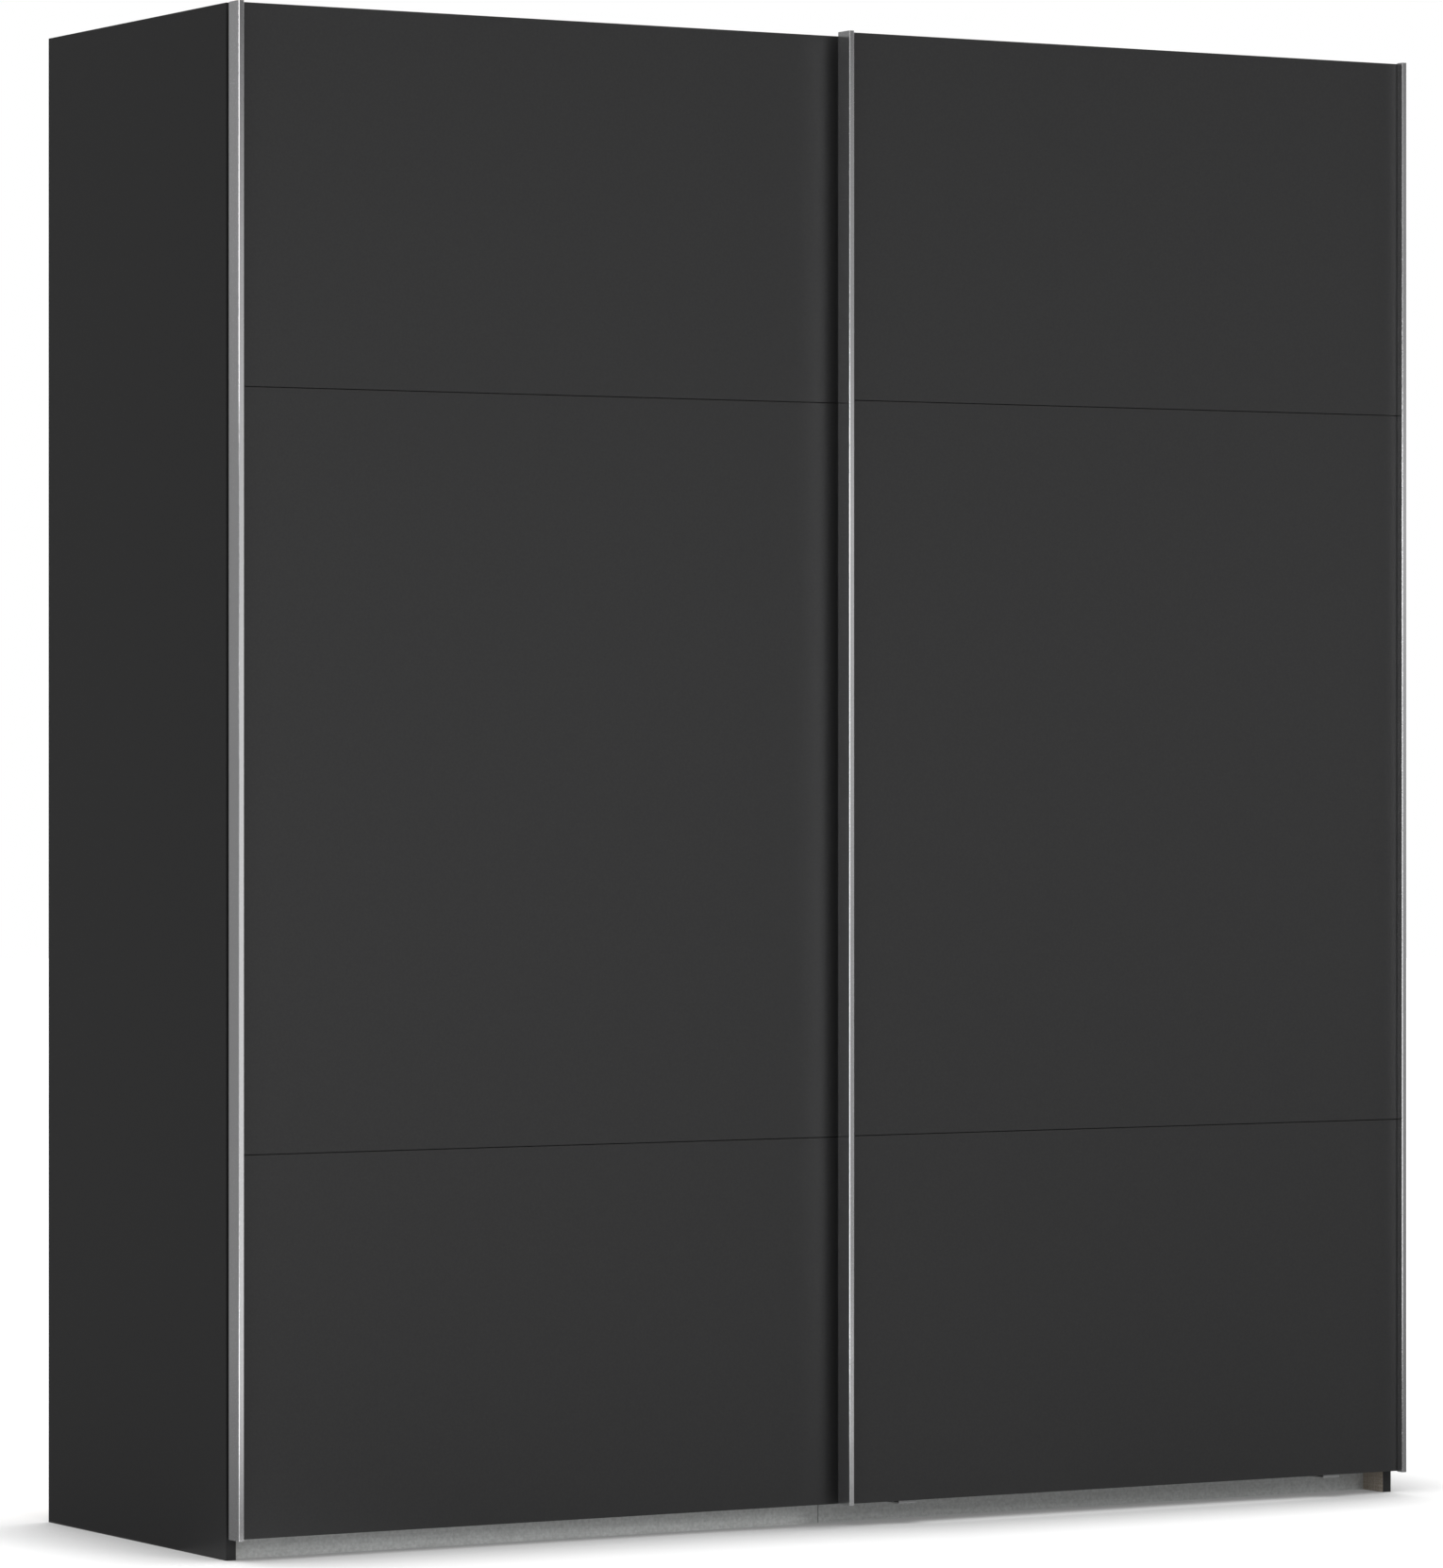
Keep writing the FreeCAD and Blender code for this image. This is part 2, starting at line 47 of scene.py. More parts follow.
def linear(hex_colour):
    """Linear RGBA of an sRGB colour such as "8a8c8f"."""
    parts = [int(hex_colour[i : i + 2], 16) / 255 for i in (0, 2, 4)]
    return [p / 12.92 if p <= 0.04045 else ((p + 0.055) / 1.055) ** 2.4 for p in parts] + [1]


def add(tree, kind, settings=None, links=None):
    """A new shader node: settings set its properties and inputs, links join its inputs."""
    made = tree.nodes.new("ShaderNode" + kind)
    for key, value in (settings or {}).items():
        if isinstance(key, str) and hasattr(made, key):
            setattr(made, key, value)
        else:
            made.inputs[key].default_value = value
    for key, source in (links or {}).items():
        tree.links.new(source, made.inputs[key])
    return made


def empty_material(name):
    """A new material with an empty node tree: returns both."""
    made = bpy.data.materials.new(name)
    made.use_nodes = True
    made.node_tree.nodes.clear()
    return made, made.node_tree


def seen_directly(tree):
    """1 where the lens, gloss or clear glass looks, 0 for the light that reaches a surface."""
    rays = add(tree, "LightPath")
    first = add(tree, "Math", {"operation": "MAXIMUM"},
                {0: rays.outputs["Is Camera Ray"], 1: rays.outputs["Is Glossy Ray"]})
    return add(tree, "Math", {"operation": "MAXIMUM"},
               {0: first.outputs[0], 1: rays.outputs["Is Transmission Ray"]}).outputs[0]


scene.view_settings.view_transform = "Standard"

DOME_STRENGTH = 0.80
world = bpy.data.worlds.new("white_studio")
scene.world = world
world.use_nodes = True
sky = world.node_tree
sky.nodes.clear()
strength = add(sky, "MapRange", {3: DOME_STRENGTH, 4: 1.0}, {0: seen_directly(sky)})
dome = add(sky, "Background", {"Color": (1, 1, 1, 1)}, {"Strength": strength.outputs[0]})
add(sky, "OutputWorld", links={"Surface": dome.outputs[0]})

EYE = Vector((-5.5545, -9.5481, 1.1486))
EYE_YAW = -30.04
eye_data = bpy.data.cameras.new("studio_camera")
eye_data.sensor_width = 36
eye_data.lens = 166.32
eye_data.shift_y = -0.01878
eye_data.clip_end = 100
eye = bpy.data.objects.new("studio_camera", eye_data)
eye.location = EYE
eye.rotation_euler = (math.radians(90), 0, math.radians(EYE_YAW))
scene.collection.objects.link(eye)
scene.camera = eye

KEY_AZIMUTH = 15
KEY_ELEVATION = 14
KEY_DISTANCE = 7.0
KEY_WATTS = 90
key_data = bpy.data.lights.new("key_softbox", "AREA")
key_data.size = 2.0
key_data.energy = KEY_WATTS
key = bpy.data.objects.new("key_softbox", key_data)
turn, rise = math.radians(KEY_AZIMUTH), math.radians(KEY_ELEVATION)
away = Vector((math.sin(turn) * math.cos(rise), -math.cos(turn) * math.cos(rise), math.sin(rise)))
key.location = Vector((0, 0, 1.1)) + away * KEY_DISTANCE
key.rotation_euler = (-away).to_track_quat("-Z", "Y").to_euler()
key.visible_glossy = False
scene.collection.objects.link(key)

FLOOR_ALBEDO = 0.93
FLOOR_LIFT = 0.47
SHADE_REACH = 0.25
SHADE_FLOOR = 0.3
SHADE_LEAN = (0.1, -0.8, 0.6)
bpy.ops.object.select_all(action="DESELECT")
bpy.ops.mesh.primitive_circle_add(vertices=96, radius=30, fill_type="NGON")
floor = bpy.context.object
floor.name = "studio_floor"
paint, tree = empty_material("white_floor_paint")
# Where the lens or gloss looks, the floor's colour and glow are multiplied by ambient occlusion within
# SHADE_REACH, its hemisphere leaning to the front, and no lower than SHADE_FLOOR: painted shade near
# the wardrobe.
near = add(tree, "AmbientOcclusion", {"samples": 16, "Distance": SHADE_REACH, "Normal": SHADE_LEAN})
soft = add(tree, "Math", {"operation": "MAXIMUM", 1: SHADE_FLOOR}, {0: near.outputs["AO"]})
direct = seen_directly(tree)
albedo = add(tree, "MapRange", {3: FLOOR_ALBEDO}, {0: direct, 4: soft.outputs[0]})
lit = add(tree, "BsdfDiffuse", links={"Color": albedo.outputs[0]})
lift = add(tree, "Math", {"operation": "MULTIPLY"}, {0: direct, 1: soft.outputs[0]})
faint = add(tree, "Math", {"operation": "MULTIPLY", 1: FLOOR_LIFT}, {0: lift.outputs[0]})
glow = add(tree, "Emission", links={"Strength": faint.outputs[0]})
both = add(tree, "AddShader", links={0: lit.outputs[0], 1: glow.outputs[0]})
add(tree, "OutputMaterial", links={"Surface": both.outputs[0]})
floor.data.materials.append(paint)


def card(name, middle, azimuth, tilt, size, along, across, lights=()):
    """A card that only gloss sees, tilt 90 upright and 0 flat, with its back to an azimuth that
    is 0 in front of the wardrobe and 90 on its right. along lists (share of the height from
    below, brightness) and across lists (share of the width from the right, factor), each with
    its two ends first. lights names the nodes that a card is for, if it isn't for all."""
    bpy.ops.object.select_all(action="DESELECT")
    bpy.ops.mesh.primitive_plane_add(size=1)
    made = bpy.context.object
    made.name = name
    made.scale = (size[0], size[1], 1)
    made.location = middle
    made.rotation_euler = (math.radians(tilt), 0, math.radians(azimuth + 180))
    for ray in ("camera", "diffuse", "transmission", "volume_scatter", "shadow"):
        setattr(made, "visible_" + ray, False)
    paper, tree = empty_material(name + "_paper")
    place = add(tree, "TexCoord")
    split = add(tree, "SeparateXYZ", links={0: place.outputs["Generated"]})
    ramps = []
    for axis, points in (("Y", along), ("X", across)):
        ramp = add(tree, "ValToRGB", links={0: split.outputs[axis]})
        for i, (at, level) in enumerate(points):
            stop = ramp.color_ramp.elements[i] if i < 2 else ramp.color_ramp.elements.new(at)
            stop.position = at
            stop.color = (level, level, level, 1)
        ramps.append(ramp.outputs["Color"])
    mixed = add(tree, "MixRGB", {"blend_type": "MULTIPLY", 0: 1.0}, {1: ramps[0], 2: ramps[1]})
    glow = add(tree, "Emission", links={"Color": mixed.outputs[0]})
    add(tree, "OutputMaterial", links={"Surface": glow.outputs[0]})
    made.data.materials.append(paper)
    if lights:
        made.light_linking.receiver_collection = bpy.data.collections.new(name + "_lights")
        for node in lights:
            made.light_linking.receiver_collection.objects.link(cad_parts[node])


EVEN = ((0.0, 1.0), (1.0, 1.0))
LEFT_STRIP = ("inner_door_left_grip_strip",)
OUTER_STRIPS = ("outer_door_left_grip_strip", "outer_door_right_grip_strip")
card("grey_card_behind_left", (-3.0, 5.2, 2.5), -150, 90, (9.0, 6.0), ((0.0, 0.23), (1.0, 0.22)), EVEN)
card("left_card_in_front", (0.55, -5.68, 4.0), 30, 90, (3.2, 10.0),
     ((0.0, 0.79), (1.0, 0.0), (0.11, 0.77), (0.19, 0.75), (0.233, 0.72), (0.274, 0.6), (0.315, 0.46),
      (0.335, 0.42), (0.356, 0.27), (0.4, 0.02)), EVEN)
card("right_card_in_front", (3.78, -3.81, 4.0), 30, 90, (4.27, 10.0),
     ((0.0, 0.28), (1.0, 0.0), (0.154, 0.32), (0.194, 0.39), (0.234, 0.5), (0.273, 0.58), (0.29, 0.43),
      (0.313, 0.32), (0.353, 0.34), (0.4, 0.02)),
     ((0.0, 1.2), (1.0, 0.96), (0.38, 1.1), (0.52, 0.78), (0.68, 0.78), (0.85, 0.96)))
card("bright_card_at_the_left", (-3.9, 0.35, 2.5), -102, 90, (1.8, 3.0),
     ((0.0, 0.0), (1.0, 10.0), (0.08, 0.0), (0.1, 8.0), (0.12, 0.0), (0.245, 0.0), (0.26, 10.0)),
     EVEN, LEFT_STRIP)
card("bright_card_in_front_left", (-4.53, -2.11, 2.5), -65, 90, (3.5, 5.0),
     ((0.0, 5.0), (1.0, 1.0), (0.2, 5.0), (0.28, 5.5), (0.29, 9.0), (0.38, 9.0), (0.4, 1.0)),
     EVEN, OUTER_STRIPS)
card("bright_floor_cloth", (-3.0, -1.5, 0.003), -65, 0, (2.2, 4.0),
     ((0.0, 0.9), (1.0, 7.0), (0.2, 1.1), (0.33, 4.5), (0.5, 7.0), (0.67, 8.0)),
     EVEN, LEFT_STRIP + OUTER_STRIPS)
# The floor cloths glow dimly in the floor's place for gloss: a painted reflection of the floor, with
# painted shade where the left and back ones grow darker towards the wardrobe.
card("left_floor_cloth", (0.02, -2.86, 0.002), 30, 0, (3.2, 5.0),
     ((0.0, 0.19), (1.0, 0.75), (0.2, 0.4), (0.4, 0.6), (0.6, 0.65)), EVEN)
card("right_floor_cloth", (2.53, -2.0, 0.002), 30, 0, (4.27, 5.0),
     ((0.0, 0.2), (1.0, 0.2), (0.2, 0.19), (0.4, 0.2), (0.6, 0.19)), EVEN)
card("back_floor_cloth", (-3.0, 2.2, 0.002), -150, 0, (9.0, 6.0),
     ((0.0, 0.15), (1.0, 0.23), (0.2, 0.18), (0.4, 0.21), (0.6, 0.23)), EVEN)

# ---- Side panels ---------------------------------------------------------------------------
# Chipboard 16 mm thick with melamine pressed on both faces and edges banded to match. Graphite
# faces the room and taupe faces the inside. Graphite melamine is matt, with a pearl grain.


def surface(name):
    """A new material with a Principled shader: returns it, its node tree and the shader."""
    made = bpy.data.materials.new(name)
    made.use_nodes = True
    return made, made.node_tree, made.node_tree.nodes["Principled BSDF"]


def dress(names, material):
    """Gives CAD nodes one material."""
    for name in names:
        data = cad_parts[name].data
        data.materials.clear()
        data.materials.append(material)


def spots(tree, size, detail=2.0):
    """Irregular spots of a size in metres, as a value about 0.5."""
    place = add(tree, "TexCoord")
    return add(tree, "TexNoise", {"Scale": 1 / size, "Detail": detail},
               {"Vector": place.outputs["Object"]}).outputs["Fac"]


def mixed_colour(tree, factor, first, second):
    """Colour between two, by a factor. Each is a hex value or the output of another node."""
    settings, links = {}, {0: factor}
    for key, colour in ((1, first), (2, second)):
        if isinstance(colour, str):
            settings[key] = linear(colour)
        else:
            links[key] = colour
    return add(tree, "MixRGB", settings, links).outputs[0]


def emboss(tree, skin, height, depth):
    """Raises a surface by a pattern, depth in metres from its lowest to its highest."""
    bump = add(tree, "Bump", {"Strength": 1.0, "Distance": depth}, {"Height": height})
    tree.links.new(bump.outputs[0], skin.inputs["Normal"])


PEARL = 0.003  # twice as coarse as the press plate's grain, so that it shows
PEARL_DEPTH = 0.00002


def graphite(tree, skin, gloss):
    """Graphite melamine: a near black with a faint pearl grain, matt but not dead."""
    grain = spots(tree, PEARL, 3.0)
    emboss(tree, skin, grain, PEARL_DEPTH)
    skin.inputs["Roughness"].default_value = 0.42
    skin.inputs["Specular IOR Level"].default_value = gloss
    return mixed_colour(tree, grain, "252526", "323232")


THREAD = 0.0022  # linen threads of the print, drawn twice as coarse as they are
THREAD_RUN = 0.05


def linen(tree, dark, light):
    """Taupe linen print: threads along every axis, of which each face shows two."""
    place = add(tree, "TexCoord")
    total = None
    for axis in range(3):
        across = [1 / THREAD] * 3
        across[axis] = 1 / THREAD_RUN
        stretched = add(tree, "Mapping", {"Scale": across}, {"Vector": place.outputs["Object"]})
        threads = add(tree, "TexNoise", {"Scale": 1.0, "Detail": 1.0},
                      {"Vector": stretched.outputs[0]}).outputs["Fac"]
        if total is None:
            total = threads
        else:
            total = add(tree, "Math", {"operation": "ADD"}, {0: total, 1: threads}).outputs[0]
    spread = add(tree, "MapRange", {1: 1.2, 2: 1.8}, {0: total})
    return mixed_colour(tree, spread.outputs[0], dark, light)


TAUPE = ("9b9083", "b9afa3")
SIDE_GLOSS = 0.18
two_faced, tree, skin = surface("graphite_and_taupe_melamine")
outside = graphite(tree, skin, SIDE_GLOSS)
place = add(tree, "TexCoord")
side = add(tree, "SeparateXYZ", links={0: place.outputs["Object"]})
faces = add(tree, "NewGeometry")
way = add(tree, "SeparateXYZ", links={0: faces.outputs["Normal"]})
inward = add(tree, "Math", {"operation": "MULTIPLY"}, {0: side.outputs["X"], 1: way.outputs["X"]})
inner_face = add(tree, "Math", {"operation": "LESS_THAN", 1: -0.5}, {0: inward.outputs[0]})
tone = mixed_colour(tree, inner_face.outputs[0], outside, linen(tree, *TAUPE))
tree.links.new(tone, skin.inputs["Base Color"])
dress(["left_side_panel", "right_side_panel"], two_faced)

# ---- Partition, top and bottom boards, hat shelves ------------------------------------------
# Chipboard with taupe melamine on both faces, printed as linen, and banded front edges. The
# boards are joined by cam fittings. Each cam is closed by a pressed-in plastic cover.
taupe, tree, skin = surface("taupe_linen_melamine")
tree.links.new(linen(tree, *TAUPE), skin.inputs["Base Color"])
skin.inputs["Roughness"].default_value = 0.5
skin.inputs["Specular IOR Level"].default_value = 0.35
dress(["centre_partition"] + [
    side + "_" + board for side in ("left", "right")
    for board in ("top_board", "bottom_board", "hat_shelf", "rear_plinth_board")
], taupe)


FACING = 0.9  # a face looks along an axis if its normal reaches this far along it
RIM = 0.9  # an edge is on the rim of a blank above this share of its height
SMOOTH_ANGLE = math.radians(40)


def pick(piece, kind, wanted):
    """Opens a piece in edit mode with those of its faces or edges selected that are wanted,
    by their middle and, for a face, its normal."""
    bpy.ops.object.mode_set(mode="EDIT")
    bpy.ops.mesh.select_mode(type=kind)
    bpy.ops.mesh.select_all(action="DESELECT")
    bpy.ops.object.mode_set(mode="OBJECT")
    mesh = piece.data
    if kind == "FACE":
        for face in mesh.polygons:
            face.select = wanted(face.center, face.normal)
    else:
        for edge in mesh.edges:
            a, b = edge.vertices
            edge.select = wanted((mesh.vertices[a].co + mesh.vertices[b].co) / 2)
    bpy.ops.object.mode_set(mode="EDIT")


def round_blank(radius, height, sides):
    """A disc that stands on the origin, with its top edge still sharp."""
    bpy.ops.object.select_all(action="DESELECT")
    bpy.ops.mesh.primitive_cylinder_add(
        vertices=sides, radius=radius, depth=height, location=(0, 0, height / 2)
    )
    bpy.ops.object.transform_apply(location=True, rotation=False, scale=False)
    return bpy.context.object


SPIN = 0.9  # radians from one copy to the next, so that neighbours end their turn unalike


def set_out(name, master, places, way, body, material):
    """Copies a small piece to places, its top turned to face a way, and joins the copies."""
    turn = Vector(way).to_track_quat("Z", "Y").to_matrix().to_4x4()
    bpy.ops.object.select_all(action="DESELECT")
    for i, place in enumerate(places):
        one = bpy.data.objects.new(name, master.data.copy())
        spin = Matrix.Rotation(SPIN * i, 4, "Z")
        one.data.transform(Matrix.Translation(Vector(place)) @ turn @ spin)
        scene.collection.objects.link(one)
        one.select_set(True)
        bpy.context.view_layer.objects.active = one
    if len(places) > 1:
        bpy.ops.object.join()
    group = bpy.context.object
    group.name = name
    group.data.materials.clear()
    group.data.materials.append(material)
    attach(group, body)
    return group


COVER_RADIUS = 0.0085
COVER_HEIGHT = 0.0015
COVER_INSET_X = 0.034
COVER_INSET_Y = 0.07
cover_plastic, tree, skin = surface("moulded_taupe_plastic")
tree.links.new(mixed_colour(tree, spots(tree, 0.004), "958a7d", "a2988b"), skin.inputs["Base Color"])
skin.inputs["Roughness"].default_value = 0.38
emboss(tree, skin, spots(tree, 0.0006), 0.00003)

cover = round_blank(COVER_RADIUS, COVER_HEIGHT, 32)
pick(cover, "EDGE", lambda at: at.z > COVER_HEIGHT * RIM)
bpy.ops.mesh.bevel(offset=COVER_HEIGHT * 0.6, segments=3, affect="EDGES")
bpy.ops.object.mode_set(mode="OBJECT")
pick(cover, "FACE", lambda at, normal: normal.z > FACING)
bpy.ops.mesh.inset(thickness=COVER_RADIUS * 0.35, depth=-COVER_HEIGHT * 0.2)
bpy.ops.object.mode_set(mode="OBJECT")
bpy.ops.object.shade_smooth_by_angle(angle=SMOOTH_ANGLE)
for side in ("left", "right"):
    for board, top in (("top_board", True), ("bottom_board", False)):
        low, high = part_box(side + "_" + board)
        level = high.z if top else low.z
        places = [(x, y, level) for x in (low.x + COVER_INSET_X, high.x - COVER_INSET_X)
                  for y in (low.y + COVER_INSET_Y, high.y - COVER_INSET_Y)]
        set_out(side + "_" + board + "_cam_covers", cover, places, (0, 0, 1 if top else -1),
                "carcass", cover_plastic)
bpy.data.objects.remove(cover)

# ---- Plinth --------------------------------------------------------------------------------
# Chipboard wrapped in foil that looks like brushed aluminium, its lines along the board. The
# two boards meet at a narrow strip in front of the partition.
BRUSH_WIDTH = 0.0018  # three times the foil's real line, so that it shows
BRUSH_RUN = 0.25
FLECK = 0.004  # soft spots that break the lines
foil, tree, skin = surface("brushed_aluminium_look_foil")
place = add(tree, "TexCoord")
drawn = add(tree, "Mapping", {"Scale": (1 / BRUSH_RUN, 1 / BRUSH_WIDTH, 1 / BRUSH_WIDTH)},
            {"Vector": place.outputs["Object"]})
lines = add(tree, "TexNoise", {"Scale": 1.0, "Detail": 3.0}, {"Vector": drawn.outputs[0]})
tone = mixed_colour(tree, lines.outputs["Fac"], "c6c8c7", "dadcdb")
fleck = mixed_colour(tree, spots(tree, FLECK, 1.0), "c8c8c8", "ffffff")
flecked = add(tree, "MixRGB", {"blend_type": "MULTIPLY", 0: 1.0}, {1: tone, 2: fleck})
tree.links.new(flecked.outputs[0], skin.inputs["Base Color"])
skin.inputs["Roughness"].default_value = 0.38
dress(["left_plinth_board", "right_plinth_board", "plinth_joint_strip"], foil)

# ---- Back panels ---------------------------------------------------------------------------
# Hardboard 3 mm thick, pressed from brown wood fibre and printed taupe on the inner face. It
# slides down grooves in the uprights and is nailed to the top and bottom boards.
FIBRE = 0.0025
hardboard, tree, skin = surface("hardboard")
fine = spots(tree, FIBRE, 5.0)
blotch = spots(tree, 0.12, 3.0)
raw = mixed_colour(tree, fine, "513d2a", "bfa482")
aged = mixed_colour(tree, blotch, "6f573e", "9b8266")
fibre = add(tree, "MixRGB", {0: 0.5}, {1: raw, 2: aged}).outputs[0]
faces = add(tree, "NewGeometry")
way = add(tree, "SeparateXYZ", links={0: faces.outputs["Normal"]})
printed = add(tree, "Math", {"operation": "LESS_THAN", 1: -0.5}, {0: way.outputs["Y"]})
tone = mixed_colour(tree, printed.outputs[0], fibre, linen(tree, *TAUPE))
tree.links.new(tone, skin.inputs["Base Color"])
skin.inputs["Roughness"].default_value = 0.6
skin.inputs["Specular IOR Level"].default_value = 0.3
emboss(tree, skin, fine, 0.00005)
dress(["left_back_panel", "right_back_panel"], hardboard)

NAIL_RADIUS = 0.0028
NAIL_HEIGHT = 0.0007
NAIL_PITCH = 0.16
NAIL_INSET = 0.03
nail_steel, tree, skin = surface("blued_nail_steel")
tree.links.new(mixed_colour(tree, spots(tree, 0.0015), "6f7175", "8b8c8f"), skin.inputs["Base Color"])
skin.inputs["Metallic"].default_value = 1
skin.inputs["Roughness"].default_value = 0.42

nail = round_blank(NAIL_RADIUS, NAIL_HEIGHT, 16)
pick(nail, "FACE", lambda at, normal: normal.z > FACING)
bpy.ops.mesh.inset(thickness=NAIL_RADIUS * 0.3, depth=NAIL_HEIGHT * 0.35)
bpy.ops.object.mode_set(mode="OBJECT")
bpy.ops.object.shade_smooth_by_angle(angle=SMOOTH_ANGLE)
for side in ("left", "right"):
    low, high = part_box(side + "_top_board")
    count = round((high.x - low.x - 2 * NAIL_INSET) / NAIL_PITCH)
    step = (high.x - low.x - 2 * NAIL_INSET) / count
    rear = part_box(side + "_back_panel")[1].y
    places = []
    for board in ("_top_board", "_bottom_board"):
        low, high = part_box(side + board)
        places += [(low.x + NAIL_INSET + i * step, rear, (low.z + high.z) / 2)
                   for i in range(count + 1)]
    set_out(side + "_back_panel_nails", nail, places, (0, 1, 0), "carcass",
            nail_steel)
bpy.data.objects.remove(nail)

# ---- Running rail --------------------------------------------------------------------------
# One aluminium extrusion over the front edges of the top boards, satin anodised, with fine die
# lines along it. Pan-head screws between the two ribs hold it down.
DIE_LINE = 0.0012
DIE_RUN = 0.6


def anodised(name, axis):
    """Satin anodised aluminium, with die lines along an axis that blur gloss across them."""
    made, tree, skin = surface(name)
    place = add(tree, "TexCoord")
    scale = [1 / DIE_LINE] * 3
    scale["XYZ".index(axis)] = 1 / DIE_RUN
    drawn = add(tree, "Mapping", {"Scale": scale}, {"Vector": place.outputs["Object"]})
    lines = add(tree, "TexNoise", {"Scale": 1.0, "Detail": 2.0}, {"Vector": drawn.outputs[0]})
    tone = mixed_colour(tree, lines.outputs["Fac"], "e2e2e4", "ebebec")
    tree.links.new(tone, skin.inputs["Base Color"])
    rough = add(tree, "MapRange", {3: 0.16, 4: 0.2}, {0: lines.outputs["Fac"]})
    tree.links.new(rough.outputs[0], skin.inputs["Roughness"])
    skin.inputs["Metallic"].default_value = 1
    skin.inputs["Anisotropic"].default_value = 0.5
    tangent = add(tree, "Tangent", {"direction_type": "RADIAL", "axis": axis})
    tree.links.new(tangent.outputs[0], skin.inputs["Tangent"])
    return made


dress(["top_running_rail", "bottom_guide_rail"], anodised("anodised_rail", "X"))

zinc, tree, skin = surface("zinc_plated_steel")
bloom = spots(tree, 0.012, 4.0)
tree.links.new(mixed_colour(tree, bloom, "a9adb3", "c3c1b6"), skin.inputs["Base Color"])
rough = add(tree, "MapRange", {3: 0.24, 4: 0.42}, {0: bloom})
tree.links.new(rough.outputs[0], skin.inputs["Roughness"])
skin.inputs["Metallic"].default_value = 1


def screw_head(radius, height):
    """A low round screw head with a cross recess, standing on the origin."""
    head = round_blank(radius, height, 24)
    pick(head, "EDGE", lambda at: at.z > height * RIM)
    bpy.ops.mesh.bevel(offset=height * 0.7, segments=3, affect="EDGES")
    bpy.ops.object.mode_set(mode="OBJECT")
    bpy.ops.object.select_all(action="DESELECT")
    bpy.ops.mesh.primitive_cube_add(size=radius * 0.3, location=(0, 0, height))
    cross = bpy.context.object
    pick(cross, "FACE", lambda at, normal: abs(normal.z) < 0.5)
    bpy.ops.mesh.extrude_faces_move(TRANSFORM_OT_shrink_fatten={"value": radius * 0.38})
    bpy.ops.object.mode_set(mode="OBJECT")
    cut = head.modifiers.new("cross_recess", "BOOLEAN")
    cut.object = cross
    bpy.ops.object.select_all(action="DESELECT")
    head.select_set(True)
    bpy.context.view_layer.objects.active = head
    bpy.ops.object.modifier_apply(modifier=cut.name)
    bpy.data.objects.remove(cross)
    bpy.ops.object.shade_smooth_by_angle(angle=math.radians(35))
    return head


RAIL_WALL = 0.002
RIB_MIDDLE = 0.036  # from the fascia to halfway between the ribs
RAIL_SCREW_PITCH = 0.25
RAIL_SCREW_INSET = 0.12
rail_screw = screw_head(0.004, 0.0022)
low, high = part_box("top_running_rail")
rail_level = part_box("left_top_board")[1].z + RAIL_WALL
count = round((high.x - low.x - 2 * RAIL_SCREW_INSET) / RAIL_SCREW_PITCH)
step = (high.x - low.x - 2 * RAIL_SCREW_INSET) / count
screw_xs = [low.x + RAIL_SCREW_INSET + i * step for i in range(count + 1)]
places = [(x, low.y + RIB_MIDDLE, rail_level) for x in screw_xs]
set_out("running_rail_screws", rail_screw, places, (0, 0, 1), "carcass", zinc)

# ---- End stops and buffers -----------------------------------------------------------------
# Black nylon blocks clamped over the ribs near the rail's ends, each with a rubber pad that
# meets a hanger plate. The nylon has the fine grain of a spark-eroded mould.
nylon, tree, skin = surface("black_nylon")
tree.links.new(mixed_colour(tree, spots(tree, 0.003), "171718", "202021"), skin.inputs["Base Color"])
skin.inputs["Roughness"].default_value = 0.45
emboss(tree, skin, spots(tree, 0.0005), 0.00004)
dress(["rail_end_stops"], nylon)

rubber, tree, skin = surface("black_rubber")
tree.links.new(mixed_colour(tree, spots(tree, 0.002), "131313", "1d1c1b"), skin.inputs["Base Color"])
skin.inputs["Roughness"].default_value = 0.75
emboss(tree, skin, spots(tree, 0.0008), 0.00005)
dress(["stop_buffers"], rubber)

STOP_HALF = 0.015
STOP_SHIFT = 0.025  # the front rib's right stop lies this much further in
RIB_PITCH = 0.028
STOP_OFFSET = 0.003  # a block is deeper in front of its rib than behind it
low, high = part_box("rail_end_stops")
front_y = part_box("top_running_rail")[0].y + RIB_MIDDLE - RIB_PITCH / 2 - STOP_OFFSET
rear_y = front_y + RIB_PITCH
places = [(low.x + STOP_HALF, front_y, high.z), (high.x - STOP_HALF - STOP_SHIFT, front_y, high.z),
          (low.x + STOP_HALF, rear_y, high.z), (high.x - STOP_HALF, rear_y, high.z)]
set_out("end_stop_screws", rail_screw, places, (0, 0, 1), "carcass", zinc)
bpy.data.objects.remove(rail_screw)

# ---- Bottom guide rail ---------------------------------------------------------------------
# An anodised extrusion in front of the plinth, finished as the running rail is. Its upper
# flange is screwed to the front edges of the bottom boards.
FLANGE_WALL = 0.0015
FLANGE_SCREW_DROP = 0.007
guide_screw = screw_head(0.0032, 0.0015)
low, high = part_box("bottom_guide_rail")
places = [(x, high.y - FLANGE_WALL, high.z - FLANGE_SCREW_DROP) for x in screw_xs]
set_out("guide_rail_screws", guide_screw, places, (0, -1, 0), "carcass", zinc)

